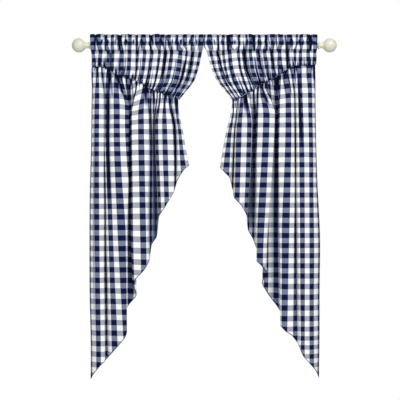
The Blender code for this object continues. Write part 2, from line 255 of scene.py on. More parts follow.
# The seam between yoke and skirt: u and height
LEFT_SEAM = (
    (119.0, -251.0),
    (182.0, -226.0),
    (251.0, -201.0),
    (321.0, -161.0),
    (367.0, -147.0),
    (404.0, -137.0),
    (441.0, -118.0),
    (469.0, -99.0),
    (522.0, -97.0),
)
RIGHT_SEAM = (
    (137.0, -257.0),
    (179.0, -234.0),
    (235.0, -202.0),
    (267.0, -179.0),
    (327.0, -151.0),
    (387.0, -107.0),
    (429.0, -95.0),
    (517.0, -90.0),
)

# Heights at which the yokes' tables give u
YOKE_LEVELS = (51.0, -30.0, -110.0, -170.0, -255.0)

# One row for each ridge or valley of the gathers: depth in the lower part of the yoke,
# distance along the cloth from the outer edge, and u at the five levels
LEFT_YOKE = (
    # depth  cloth  u at the five levels
    (-2.0, 0.0, 524.0, 523.0, 520.0, 520.0, 520.0),
    (-13.0, 62.0, 478.0, 478.0, 482.0, 484.0, 486.0),
    (3.0, 122.0, 437.0, 437.0, 440.0, 446.0, 450.0),
    (-13.0, 178.0, 410.0, 410.0, 414.0, 420.0, 424.0),
    (3.0, 232.0, 382.0, 382.0, 383.0, 390.0, 396.0),
    (-14.0, 288.0, 350.0, 350.0, 351.0, 357.0, 368.0),
    (2.0, 344.0, 317.0, 317.0, 319.0, 327.0, 340.0),
    (-14.0, 400.0, 286.0, 287.0, 292.0, 305.0, 322.0),
    (3.0, 456.0, 252.0, 255.0, 263.0, 275.0, 302.0),
    (-15.0, 520.0, 214.0, 216.0, 226.0, 236.0, 272.0),
    (6.0, 588.0, 178.0, 180.0, 190.0, 203.0, 246.0),
    (-14.0, 652.0, 134.0, 134.0, 143.0, 155.0, 206.0),
    (4.0, 716.0, 86.0, 86.0, 97.0, 113.0, 160.0),
    (-10.0, 758.0, 68.0, 70.0, 82.0, 97.0, 146.0),
    (3.0, 800.0, 50.0, 52.0, 64.0, 80.0, 134.0),
    (-11.0, 858.0, 26.0, 33.0, 46.0, 64.0, 127.0),
    (-3.0, 916.0, 2.0, 9.0, 27.0, 47.0, 120.0),
)
RIGHT_YOKE = (
    # depth  cloth  u at the five levels
    (-2.0, 0.0, 522.0, 518.0, 516.0, 516.0, 516.0),
    (-13.0, 70.0, 478.0, 476.0, 475.0, 476.0, 478.0),
    (3.0, 132.0, 436.0, 436.0, 437.0, 440.0, 444.0),
    (-13.0, 186.0, 406.0, 407.0, 410.0, 414.0, 420.0),
    (2.0, 240.0, 376.0, 378.0, 384.0, 388.0, 394.0),
    (-14.0, 300.0, 342.0, 346.0, 352.0, 355.0, 362.0),
    (3.0, 360.0, 308.0, 312.0, 318.0, 322.0, 330.0),
    (-14.0, 412.0, 280.0, 283.0, 292.0, 302.0, 314.0),
    (3.0, 462.0, 251.0, 254.0, 267.0, 284.0, 298.0),
    (-15.0, 520.0, 218.0, 219.0, 228.0, 246.0, 270.0),
    (7.0, 580.0, 186.0, 186.0, 193.0, 214.0, 246.0),
    (-14.0, 644.0, 138.0, 138.0, 148.0, 166.0, 206.0),
    (3.0, 706.0, 86.0, 87.0, 96.0, 112.0, 168.0),
    (-12.0, 760.0, 68.0, 73.0, 84.0, 102.0, 158.0),
    (6.0, 812.0, 55.0, 60.0, 71.0, 91.0, 149.0),
    (-11.0, 864.0, 28.0, 37.0, 52.0, 75.0, 141.0),
    (-3.0, 916.0, 1.0, 11.0, 34.0, 60.0, 133.0),
)

# Where the cloth's navy stripes stand, as distances along the gathered cloth, in the
# headings and in the yokes below their pockets
LEFT_HEADING_STRIPES = (
    12.0, 49.0, 99.0, 143.0, 220.0, 302.0, 358.0, 403.0, 458.0,
    515.0, 566.0, 585.0, 610.0, 665.0, 712.0, 779.0, 889.0,
)
LEFT_YOKE_STRIPES = (
    13.0, 61.0, 114.0, 148.0, 234.0, 296.0, 357.0, 421.0, 476.0,
    541.0, 582.0, 594.0, 626.0, 686.0, 729.0, 796.0, 900.0,
)
RIGHT_HEADING_STRIPES = (
    12.0, 74.0, 109.0, 150.0, 203.0, 285.0, 350.0, 410.0, 450.0,
    532.0, 567.0, 589.0, 608.0, 661.0, 712.0, 780.0, 876.0,
)
RIGHT_YOKE_STRIPES = (
    13.0, 63.0, 122.0, 161.0, 231.0, 299.0, 360.0, 421.0, 474.0,
    535.0, 574.0, 592.0, 616.0, 674.0, 707.0, 808.0, 884.0,
)

# Some rows of the skirts' checks: height and row number, near the outer edge and
# further in
LEFT_OUTER_ROWS = (
    (-41.0, -2.0), (-139.0, 0.0), (-334.0, 4.0), (-502.0, 8.0), (-1475.0, 28.0),
    (-1573.0, 30.0),
)
LEFT_INNER_ROWS = (
    (-18.0, -2.0), (-114.0, 0.0), (-258.0, 3.0), (-497.0, 8.0), (-739.0, 13.0),
    (-1003.0, 18.0), (-1475.0, 27.8), (-1573.0, 29.8),
)
RIGHT_OUTER_ROWS = (
    (-51.0, -2.0), (-143.0, 0.0), (-554.0, 9.0), (-1065.0, 20.0), (-1311.0, 25.0),
    (-1560.0, 31.0),
)
RIGHT_INNER_ROWS = (
    (-51.0, -2.0), (-143.0, 0.0), (-554.0, 9.0), (-786.0, 14.0), (-1065.0, 20.0),
    (-1560.0, 31.0),
)
# Where along the cloth the outer rows end and the inner rows begin
ROWS_MEET = (270.0, 440.0)

# Height of the first dyed row in the yokes
YOKE_ROW_START = 44.6

# Where the skirts' cloth is gathered into the seam: distance along the cloth and u
LEFT_GATHERS = (
    (0.0, 519.0), (57.0, 494.0), (112.0, 470.0), (167.0, 450.0), (222.0, 408.0),
    (277.0, 384.0), (332.0, 352.0), (387.0, 313.0), (442.0, 281.0), (497.0, 262.0),
    (552.0, 246.0), (607.0, 232.0), (662.0, 216.0), (717.0, 202.0), (772.0, 186.0),
    (827.0, 158.0), (884.0, 130.0), (916.0, 120.0),
)
RIGHT_GATHERS = (
    (0.0, 515.0), (59.0, 487.0), (114.0, 440.0), (169.0, 402.0), (224.0, 378.0),
    (279.0, 345.0), (334.0, 322.0), (389.0, 300.0), (444.0, 283.0), (499.0, 265.0),
    (554.0, 245.0), (609.0, 228.0), (664.0, 210.0), (719.0, 196.0), (746.0, 186.0),
    (790.0, 165.0), (836.0, 148.0), (886.0, 135.0), (916.0, 128.0),
)

# Single creases: depth, half width, then pairs of height and distance along the cloth,
# from the top down
LEFT_YOKE_CREASES = (
    (12.0, 12.0, ((-14.0, 131.0), (-90.0, 131.0), (-140.0, 140.0))),
    (10.0, 8.0, ((8.0, 352.0), (-60.0, 360.0))),
    (9.0, 7.0, ((8.0, 382.0), (-48.0, 362.0))),
    (14.0, 12.0, ((20.0, 588.0), (-150.0, 588.0), (-185.0, 580.0))),
    (20.0, 15.0, ((-60.0, 724.0), (-150.0, 724.0), (-235.0, 712.0))),
    (9.0, 8.0, ((6.0, 634.0), (-70.0, 622.0))),
    (13.0, 8.0, ((12.0, 784.0), (-90.0, 800.0), (-150.0, 790.0), (-215.0, 745.0))),
    (8.0, 7.0, ((4.0, 236.0), (-44.0, 244.0))),
)
RIGHT_YOKE_CREASES = (
    (14.0, 12.0, ((50.0, 238.0), (-30.0, 228.0), (-140.0, 236.0))),
    (12.0, 11.0, ((12.0, 392.0), (-45.0, 362.0), (-140.0, 352.0))),
    (9.0, 7.0, ((6.0, 340.0), (-40.0, 358.0))),
    (12.0, 11.0, ((0.0, 462.0), (-80.0, 468.0), (-175.0, 450.0))),
    (17.0, 10.0, ((30.0, 584.0), (-90.0, 580.0), (-200.0, 574.0))),
    (20.0, 17.0, ((4.0, 812.0), (-110.0, 770.0), (-170.0, 738.0), (-225.0, 716.0))),
    (9.0, 7.0, ((10.0, 672.0), (-30.0, 644.0))),
    (9.0, 7.0, ((10.0, 612.0), (-30.0, 640.0))),
)
LEFT_SKIRT_CREASES = (
    (8.0, 12.0, ((-110.0, 124.0), (-1460.0, 118.0))),
    (13.0, 17.0, ((-130.0, 167.0), (-800.0, 160.0))),
    (6.0, 8.0, ((-150.0, 40.0), (-1480.0, 34.0))),
    (14.0, 9.0, ((-190.0, 516.0), (-1000.0, 516.0))),
    (10.5, 44.0, ((-250.0, 588.0), (-1100.0, 592.0))),
    (5.0, 14.0, ((-200.0, 480.0), (-1100.0, 474.0))),
    (11.0, 15.0, ((-230.0, 644.0), (-1000.0, 650.0))),
    (16.0, 13.0, ((-215.0, 826.0), (-700.0, 828.0))),
    (12.0, 6.0, ((-120.0, 195.0), (-250.0, 195.0))),
    (13.0, 7.0, ((-128.0, 226.0), (-240.0, 236.0))),
    (15.0, 7.0, ((-148.0, 330.0), (-300.0, 290.0))),
    (14.0, 6.0, ((-160.0, 372.0), (-290.0, 388.0))),
)
RIGHT_SKIRT_CREASES = (
    (12.0, 9.0, ((-110.0, 165.0), (-1390.0, 160.0))),
    (14.0, 14.0, ((-170.0, 566.0), (-980.0, 562.0))),
    (15.0, 11.0, ((-215.0, 832.0), (-690.0, 836.0))),
    (12.0, 12.0, ((-95.0, 122.0), (-520.0, 113.0))),
    (13.0, 6.0, ((-118.0, 196.0), (-250.0, 200.0))),
    (12.0, 7.0, ((-165.0, 476.0), (-290.0, 486.0))),
    (3.5, 18.0, ((-200.0, 338.0), (-1260.0, 330.0))),
    (6.0, 24.0, ((-230.0, 634.0), (-940.0, 634.0))),
)

# What tells the two halves apart. `dip` is where the skirt's rows are pulled down below
# the seam, as u and depth; the seeds vary the gathers
Curtain = namedtuple(
    "Curtain",
    "side seam yoke heading_stripes yoke_stripes yoke_creases yoke_row_pitch yoke_seed "
    "skirt gathers outer_rows inner_rows skirt_creases first_stripe dip skirt_seed",
)
CURTAINS = {
    "left": Curtain(
        side=-1,
        seam=LEFT_SEAM,
        yoke=LEFT_YOKE,
        heading_stripes=LEFT_HEADING_STRIPES,
        yoke_stripes=LEFT_YOKE_STRIPES,
        yoke_creases=LEFT_YOKE_CREASES,
        yoke_row_pitch=38.2,
        yoke_seed=0.4,
        skirt=LEFT_SKIRT,
        gathers=LEFT_GATHERS,
        outer_rows=LEFT_OUTER_ROWS,
        inner_rows=LEFT_INNER_ROWS,
        skirt_creases=LEFT_SKIRT_CREASES,
        first_stripe=2.0,
        dip=(332.0, 15.0),
        skirt_seed=1.3,
    ),
    "right": Curtain(
        side=1,
        seam=RIGHT_SEAM,
        yoke=RIGHT_YOKE,
        heading_stripes=RIGHT_HEADING_STRIPES,
        yoke_stripes=RIGHT_YOKE_STRIPES,
        yoke_creases=RIGHT_YOKE_CREASES,
        yoke_row_pitch=36.6,
        yoke_seed=2.9,
        skirt=RIGHT_SKIRT,
        gathers=RIGHT_GATHERS,
        outer_rows=RIGHT_OUTER_ROWS,
        inner_rows=RIGHT_INNER_ROWS,
        skirt_creases=RIGHT_SKIRT_CREASES,
        first_stripe=4.0,
        dip=(342.0, 8.0),
        skirt_seed=4.1,
    ),
}


def ease(x, low, high):
    """0 below low, 1 above high, and smooth in between."""
    t = np.clip((x - low) / (high - low), 0.0, 1.0)
    return t * t * (3.0 - 2.0 * t)


def fade(distance, reach):
    """1 at no distance, dying away over a reach."""
    return np.exp(-((distance / reach) ** 2))


def at_height(pairs, z):
    """A value at each height, from pairs of height and value, from the top down."""
    heights, values = np.array(pairs).T
    return np.interp(-z, -heights, values)


def soften(values, width):
    """Smooth a row of values over a width in grid steps; the ends stay in place."""
    reach = math.ceil(3.0 * width)
    offsets = np.arange(-reach, reach + 1)
    kernel = np.exp(-0.5 * (offsets / width) ** 2)
    kernel /= kernel.sum()
    padded = np.pad(values, reach, mode="reflect", reflect_type="odd")
    return np.convolve(padded, kernel, mode="valid")


def level_field(places, corners, columns, levels, z, rounding, blur):
    """u over a grid, from its value at each corner of the folds at a few heights.

    `places` are distances along the cloth, one for each grid column; `rounding` softens
    the corners, in grid steps; `blur` softens the change from level to level, in mm.
    """
    levels = np.array(levels)
    step = 5.0
    beyond = 400.0
    heights = np.arange(levels[0] + beyond, levels[-1] - beyond, -step)
    field = np.zeros_like(z)
    for i in range(len(levels)):
        hat = np.interp(-heights, -levels, np.arange(len(levels)) == i)
        weight = np.interp(-z, -heights, soften(hat, blur / step))
        field += weight * soften(np.interp(places, corners, columns[:, i]), rounding)
    return field


def gather_phase(s, gather, seed):
    """Which gather a place is in: whole numbers are valleys, unevenly spaced."""
    even = s / gather.pitch
    return even + 0.34 * np.sin(s / 61.0 + seed) + 0.22 * np.sin(s / 23.0 + 2.1 * seed)


def lobes(s, gather, seed):
    """Uneven gathers along the cloth: -1 on a round ridge, 1 in a sharp valley."""
    seed = seed + gather.seed
    size = 0.78 + 0.32 * np.sin(s / 37.0 + 1.7 * seed)
    phase = gather_phase(s, gather, seed)
    return size * (1.0 - 2.0 * np.abs(np.sin(math.pi * phase)) ** 0.75)


def pinch(s, u, gather, seed, strength):
    """Draw the cloth sideways into the valleys, so that the ridges show more of it."""
    phase = gather_phase(s, gather, seed + gather.seed)
    slip = -np.sin(2.0 * math.pi * phase) / (2.0 * math.pi) * gather.pitch
    move = gather.slip * strength * slip
    return u + move * np.gradient(u, axis=1) / np.gradient(s, axis=1)


def valley_shade(s, gather, seed):
    """How much shade is painted in the valleys between gathers; some are faint."""
    seed = seed + gather.seed
    phase = gather_phase(s, gather, seed)
    number = np.round(phase)
    strength = 0.45 + 0.55 * np.abs(np.sin(2.1 * number + seed))
    return gather.shade * (strength * fade(phase - number, gather.width))


def normals(points):
    """Unit normals of a grid of points, pointing out of the cloth's back."""
    along = np.gradient(points, axis=1)
    down = np.gradient(points, axis=0)
    cross = np.cross(along, down)
    cross /= np.maximum(np.linalg.norm(cross, axis=2, keepdims=True), 1e-9)
    return cross if cross[..., 1].mean() > 0.0 else -cross


def turned_sides(points, extra):
    """Add both side hems: the outermost columns again, folded round behind the cloth."""
    count = int(HEM_TURN / (CLOTH_WIDTH / points.shape[1]))

    def fold(front, behind):
        sides = [behind[:, count:0:-1], front, behind[:, -2:-count - 2:-1]]
        return np.concatenate(sides, axis=1)

    folded = fold(points, points + normals(points) * HEM_GAP)
    return folded, [fold(values, values) for values in extra]


def cloth(name, points, u_check, v_check, painted_shade, side):
    """A sheet of gingham from a grid of points, closed to its real thickness."""
    height, width = u_check.shape
    place = points * MM
    place[..., 0] *= side
    grid = np.arange(height * width).reshape(height, width)
    corners = np.stack(
        [grid[:-1, :-1], grid[:-1, 1:], grid[1:, 1:], grid[1:, :-1]], axis=-1
    )
    if side > 0:
        corners = corners[..., ::-1]
    mesh = bpy.data.meshes.new(name)
    mesh.from_pydata(place.reshape(-1, 3).tolist(), [], corners.reshape(-1, 4).tolist())
    layer = mesh.uv_layers.new(name="check")
    uv = np.stack([u_check.ravel(), v_check.ravel()], axis=-1)
    order = np.empty(len(mesh.loops), dtype=np.int32)
    mesh.loops.foreach_get("vertex_index", order)
    layer.data.foreach_set("uv", uv[order].ravel().astype(np.float32))
    # The painted shade of the folds and gathers, one value for each point
    shade = mesh.attributes.new("painted_shade", "FLOAT", "POINT")
    shade.data.foreach_set("value", painted_shade.ravel().astype(np.float32))
    mesh.shade_smooth()
    obj = bpy.data.objects.new(name, mesh)
    bpy.context.scene.collection.objects.link(obj)
    solid = obj.modifiers.new("Thickness", "SOLIDIFY")
    solid.thickness = CLOTH_THICKNESS * MM
    solid.offset = 0.0
    return obj


def skirt_heights(top_z, hem_z):
    """Heights of the skirt's grid: close rows at the seam and the hem, even between."""
    even = SKIRT_ROWS - len(SEAM_DROPS) - len(HEM_DROPS)
    middle = np.linspace(0.0, 1.0, even + 2)[1:-1]
    total = top_z - hem_z
    drops = [np.full_like(total, d) for d in SEAM_DROPS]
    drops += [SEAM_DROPS[-1] + (total - SEAM_DROPS[-1] - HEM_DROPS[0]) * m for m in middle]
    drops += [total - d for d in HEM_DROPS]
    return top_z - np.array(drops)


def crease_fields(creases, s, z):
    """How far single creases push the cloth back, and how much shade is painted at their
    bottoms.
    """
    push = np.zeros_like(z)
    dark = np.zeros_like(z)
    full_depth = 14.0
    for depth, width, path in creases:
        away = np.abs(s - at_height(path, z))
        top, bottom = path[0][0], path[-1][0]
        length = top - bottom
        ends = ease(top - z, 0.0, 0.25 * length) * ease(z - bottom, 0.0, 0.3 * length)
        push = np.maximum(push, depth * ends * np.exp(-((away / width) ** 1.3)))
        dark = np.maximum(dark, ends * fade(away, 0.8 * width) * depth / full_depth)
    return push, dark


def skirt_gathers(s, z, drop, seed):
    """Lift and painted shade of the small gathers out of the seam, and what is left lower
    down.
    """
    small = SKIRT_GATHER.depth * lobes(s, SKIRT_GATHER, seed) * fade(drop, 66.0)
    fine = SKIRT_PUCKER.depth * lobes(s, SKIRT_PUCKER, seed) * fade(drop, 30.0)
    faint = 0.7 * np.sin(s / 13.0 + z / 170.0 + seed) * np.exp(-drop / 420.0)
    ripple = 0.9 * np.sin(z / 74.0 + s / 47.0 + seed) * ease(drop, 60.0, 300.0)
    lift = (small + fine + faint) * ease(drop, 0.0, 9.0) + ripple
    dark = valley_shade(s, SKIRT_GATHER, seed) * fade(drop, 68.0)
    dark += valley_shade(s, SKIRT_PUCKER, seed) * fade(drop, 28.0)
    # Painted shadow in a band just below the seam, where the yoke's edge hangs over it
    dark += (0.22 + valley_shade(s, SKIRT_SEAM_SHADE, seed)) * fade(drop, 7.0)
    return lift, dark


def skirt(name, curtain):
    """The gathered skirt, from its seam to the slanting hem turned up behind."""
    seed = curtain.skirt_seed
    rows = np.array(curtain.skirt)
    corners = rows[:, 2]
    label = np.linspace(0.0, CLOTH_WIDTH, SKIRT_COLUMNS)
    s_top = np.interp(label, corners, rows[:, 1])
    gathered = soften(np.interp(s_top, *np.array(curtain.gathers).T), GATHER_ROUNDING)
    top_z = soften(np.interp(gathered, *np.array(curtain.seam).T), EDGE_ROUNDING)
    hem_z = soften(np.interp(label, corners, rows[:, 7]), EDGE_ROUNDING)
    z = skirt_heights(top_z, hem_z)
    drop = top_z - z

    # The folds, drawn together into the seam
    folded = level_field(
        label, corners, rows[:, 3:7], SKIRT_LEVELS, z, SKIRT_ROUNDING, SKIRT_BLUR
    )
    u = gathered + (folded - gathered) * ease(drop, 0.0, FOLD_COURSE)
    depth = soften(np.interp(label, corners, rows[:, 0]), DEPTH_ROUNDING)
    y = depth * (0.05 + 0.95 * ease(drop, 0.0, FOLD_START)) - 3.0
    s = label + (s_top - label) * (1.0 - ease(-z, 300.0, 900.0))
    u = pinch(s, u, SKIRT_GATHER, seed, fade(drop, 70.0))
    u = pinch(s, u, SKIRT_PUCKER, seed, fade(drop, 30.0))
    points = np.stack([u, y, z], axis=-1)

    # Creases, with painted shade in them and deep between the folds, and a dark line
    # painted along the hem
    lift, dark = skirt_gathers(s, z, drop, seed)
    push, crease = crease_fields(curtain.skirt_creases, label, z)
    points[..., 1] += push * ease(drop, 0.0, 30.0)
    dark += crease + 0.22 * ease(points[..., 1], 8.0, 40.0)
    dark += 0.8 * (1.0 - ease(z - z[-1:], 1.0, 6.0))
    points += normals(points) * lift[..., None]

    # The seam allowance behind the seam, and the hem turned up behind the skirt
    points[0] += SEAM_TUCK
    points[1, :, 1] += 1.2
    step = np.array(ALLOWANCE_STEP)
    turn = len(HEM_DROPS)
    hem = points[-turn:][::-1] + normals(points)[-turn:][::-1] * HEM_GAP
    hem[0, :, 2] -= 0.5
    points = np.concatenate([points[:1] + 2.0 * step, points[:1] + step, points, hem])

    # The checks follow the cloth; their rows dip below the seam
    dip_place, dip_depth = curtain.dip
    dip = dip_depth * fade(u - dip_place, 40.0) * (1.0 - ease(drop, 70.0, 230.0))
    outer = at_height(curtain.outer_rows, z + dip)
    inner = at_height(curtain.inner_rows, z + dip)
    v_check = outer + (inner - outer) * ease(s, *ROWS_MEET)
    u_check = (s - curtain.first_stripe) / CHECK
    extra = []
    for values in (u_check, v_check, dark):
        extra.append(np.concatenate([values[:1], values[:1], values, values[-turn:][::-1]]))
    points, extra = turned_sides(points, extra)
    return cloth(name, points, *extra, curtain.side)


def section():
    """The pocket's section, evenly spaced and rounded: height, stand-off and bulge."""
    corners = np.array(POCKET_SECTION)
    steps = np.linalg.norm(np.diff(corners, axis=0), axis=1)
    length = np.concatenate([[0.0], np.cumsum(steps)])
    even = np.linspace(0.0, length[-1], SECTION_ROWS)
    return [
        soften(np.interp(even, length, column), SECTION_ROUNDING) for column in corners.T
    ]


def stripe_number(s, z, heading, body):
    """How many stripes lie between the outer edge and a place on the gathered cloth."""
    numbers = np.arange(len(heading))
    beyond, more = 40.0, 0.9
    counts = (-more, *numbers, numbers[-1] + more)
    high, low = (
        np.interp(s, (stripes[0] - beyond, *stripes, stripes[-1] + beyond), counts)
        for stripes in (heading, body)
    )
    return high + (low - high) * ease(-z, -STITCHING, 34.0)


def yoke(name, curtain):
    """The yoke: a strip from the back hem of its pocket, over the heading, to the seam."""
    seed = curtain.yoke_seed
    rows = np.array(curtain.yoke)
    corners, columns = rows[:, 1], rows[:, 2:]
    label = np.linspace(0.0, CLOTH_WIDTH, YOKE_COLUMNS)
    height, stand_off, bulge = section()
    gather = soften(np.interp(label, corners, rows[:, 0]), YOKE_ROUNDING)

    def u_at(heights):
        return level_field(
            label, corners, columns, YOKE_LEVELS, heights, YOKE_ROUNDING, YOKE_BLUR
        )

    # Where each column meets the seam
    bottom = np.full_like(label, YOKE_LEVELS[3])
    for _ in range(4):
        bottom = np.interp(u_at(bottom), *np.array(curtain.seam).T)
    bottom = soften(bottom, EDGE_ROUNDING)

    # Heading and pocket, then the yoke below them; the headings meet in the middle
    share = np.linspace(0.0, 1.0, LOWER_ROWS + 1)[1:, None]
    z_head = np.repeat(height[:, None], YOKE_COLUMNS, axis=1)
    z_low = POCKET_BOTTOM + (bottom - POCKET_BOTTOM) * share
    z = np.concatenate([z_head, z_low])
    front = np.concatenate([stand_off < 0.0, np.ones(LOWER_ROWS, dtype=bool)])[:, None]
    s = np.repeat(label[None, :], len(z), axis=0)
    above = z - bottom
    u = u_at(z)
    u -= ease(label, 850.0, CLOTH_WIDTH) * (u[:, -1:] - 1.5) * ease(z, -26.0, 2.0)
    head_y = (gather + 5.0) * 0.7
    low_y = gather * 1.3 - 6.0
    seam_y = gather * 0.2 - 3.0
    y_low = head_y - STAND_OFF + (low_y - head_y + STAND_OFF) * ease(share, 0.0, 0.4)
    y_low += (seam_y - y_low) * ease(share, 0.6, 1.0)
    y = np.concatenate([np.repeat(head_y[None, :], SECTION_ROWS, axis=0), y_low])

    # Gathers of the heading, drawn in tight at the stitching above the rod
    ruffle = ease(z, STITCHING, RUFFLE_START)
    ruffle *= 1.0 + 0.3 * ease(z, RUFFLE_START, HEADING_TOP)
    pocket = ease(z, -34.0, -20.0) * (1.0 - ruffle) + 0.5 * (1.0 - ease(z, -80.0, -34.0))
    stitched = fade(z - STITCHING, 13.0)
    lobe = lobes(s, HEADING_GATHER, seed)
    wave = HEADING_GATHER.depth * lobe * ruffle
    wave += POCKET_GATHER.depth * lobe * np.clip(pocket, 0.0, 1.0)
    wave += STITCHED_GATHER.depth * lobes(s, STITCHED_GATHER, seed) * stitched
    u = pinch(s, u, HEADING_GATHER, seed, np.clip(ruffle + 0.5 * pocket, 0.0, 1.0))
    y += wave
    push, crease = crease_fields(curtain.yoke_creases, s, z)
    # Painted shade in the valleys of the heading's, the pocket's and the stitched gathers
    shadow = valley_shade(s, HEADING_GATHER, seed) * np.clip(ruffle, 0.0, 1.0)
    shadow += valley_shade(s, POCKET_GATHER, seed) * np.clip(pocket, 0.0, 1.0)
    shadow += valley_shade(s, STITCHED_GATHER, seed) * stitched
    above_rod = z > 10.0
    room = np.where(above_rod, 0.45, 0.25 + 0.75 * ease(-z, 26.0, 44.0))
    y += push * room * np.where(front | above_rod, 1.0, 0.3)
    y -= np.where(front, 6.0 * fade(z - POCKET_STITCHING, 17.0), 0.0)
    z = z - 2.0 * lobe * ease(z, 36.0, HEADING_TOP)

    # Both layers stand off the gathered middle, and bulge round the rod
    du = np.gradient(u, axis=1)
    dy = np.gradient(y, axis=1)
    length = np.hypot(du, dy)
    off = np.concatenate([stand_off, np.zeros(LOWER_ROWS)])[:, None]
    swell = np.concatenate([bulge, np.zeros(LOWER_ROWS)])[:, None]
    u = u + off * dy / length
    y = y - off * du / length + swell

    # Puckers above the seam
    near = np.where(front, fade(above, 20.0), 0.0)
    wide = np.where(front, fade(above, 70.0), 0.0)
    seam_shade_reach = np.where(front, fade(above, 9.0), 0.0)
    below_rod = ease(-z, 34.0, 52.0)
    u = pinch(s, u, YOKE_PUCKER, seed, near * below_rod)
    u = pinch(s, u, YOKE_GATHER, seed, wide * below_rod)
    points = np.stack([u, y, z], axis=-1)
    near = near * ease(above, 0.0, 8.0)
    wide = wide * ease(above, 0.0, 12.0)
    lift = YOKE_PUCKER.depth * lobes(s, YOKE_PUCKER, seed) * near
    lift += YOKE_GATHER.depth * lobes(s, YOKE_GATHER, seed) * wide
    points += normals(points) * (lift * below_rod)[..., None]
    # Painted shade in the puckers' valleys, and in a band right at the seam
    shadow += valley_shade(s, YOKE_PUCKER, seed) * near
    shadow += valley_shade(s, YOKE_GATHER, seed) * wide * ease(-z, 80.0, 130.0)
    shadow += valley_shade(s, YOKE_SEAM_SHADE, seed) * seam_shade_reach
    # The painted shade goes on the front layer only
    dark = np.where(front, np.maximum(crease, shadow), 0.0)

    # The seam allowance, turned back behind the seam
    points[-1, :, 1] += 3.0
    points[-2, :, 1] += 0.8
    step = np.array(ALLOWANCE_STEP)
    points = np.concatenate([points, points[-1:] + step, points[-1:] + 2.0 * step])

    # The checks follow the cloth, and hang lower towards the middle
    fall = 16.0 * ease(170.0 - u, 0.0, 150.0) * ease(-z, -5.0, 60.0)
    along = np.where(front, z + fall, 2.0 * HEADING_TOP - z)
    v_check = (along - YOKE_ROW_START) / curtain.yoke_row_pitch
    u_check = stripe_number(s, z, curtain.heading_stripes, curtain.yoke_stripes)
    extra = []
    for values in (u_check, v_check, dark):
        extra.append(np.concatenate([values, values[-1:], values[-1:]]))
    points, extra = turned_sides(points, extra)
    return cloth(name, points, *extra, curtain.side)


def finial(name, side):
    """A turned ball finial: ball, neck and flange, its axis along the rod."""
    centre = BALL_CENTRE - FINIAL_START
    profile = []
    for i in range(BALL_STEPS + 1):
        angle = math.radians(BALL_ARC) * i / BALL_STEPS
        along = centre + BALL_RADIUS * math.cos(angle)
        profile.append((BALL_RADIUS * math.sin(angle), along))
    profile += NECK_PROFILE
    mesh = bpy.data.meshes.new(name)
    points = [(radius * MM, 0.0, height * MM) for radius, height in profile]
    mesh.from_pydata(points, [(i, i + 1) for i in range(len(points) - 1)], [])
    obj = bpy.data.objects.new(name, mesh)
    bpy.context.scene.collection.objects.link(obj)

    turned = obj.modifiers.new("Turned", "SCREW")
    turned.steps = FINIAL_SIDES
    turned.render_steps = FINIAL_SIDES
    turned.use_merge_vertices = True
    turned.merge_threshold = 0.00001
    turned.use_smooth_shade = True
    obj.location = (side * FINIAL_START * MM, 0.0, 0.0)
    obj.rotation_euler = (0.0, side * math.pi / 2.0, 0.0)
    return obj


class Nodes:
    """A short way to build one material's shader nodes."""

    def __init__(self, name):
        self.material = bpy.data.materials.new(name)
        self.material.use_nodes = True
        self.tree = self.material.node_tree
        self.shader = self.tree.nodes["Principled BSDF"]

    def put(self, node, **inputs):
        """Link or set a node's inputs, by name or by number after an underscore."""
        for name, value in inputs.items():
            key = int(name[1:]) if name[0] == "_" else name.replace("_", " ")
            if isinstance(value, bpy.types.NodeSocket):
                self.tree.links.new(value, node.inputs[key])
            else:
                node.inputs[key].default_value = value
        return node

    def add(self, kind, **inputs):
        """A new node of one kind with its inputs filled."""
        return self.put(self.tree.nodes.new(kind), **inputs)

    def maths(self, operation, first, second=0.0):
        """One step of arithmetic."""
        node = self.tree.nodes.new("ShaderNodeMath")
        node.operation = operation
        return self.put(node, _0=first, _1=second).outputs[0]

    def ramp(self, value, low, high, start=0.0, end=1.0):
        """A smooth change from start to end between low and high."""
        node = self.tree.nodes.new("ShaderNodeMapRange")
        node.interpolation_type = "SMOOTHSTEP"
        self.put(node, Value=value, From_Min=low, From_Max=high, To_Min=start, To_Max=end)
        return node.outputs[0]

    def mix(self, share, first, second, blend="MIX"):
        """Two colours mixed."""
        node = self.tree.nodes.new("ShaderNodeMix")
        node.data_type = "RGBA"
        node.blend_type = blend
        self.put(node, _0=share, _6=first, _7=second)
        return node.outputs[2]


def band(nodes, value, half, soft):
    """1 on the dyed half of each repeat, centred on whole numbers, and 0 off it."""
    turn = nodes.maths("FRACT", nodes.maths("ADD", value, 0.5))
    away = nodes.maths("ABSOLUTE", nodes.maths("SUBTRACT", turn, 0.5))
    return nodes.ramp(away, half - soft, half + soft, 1.0, 0.0)


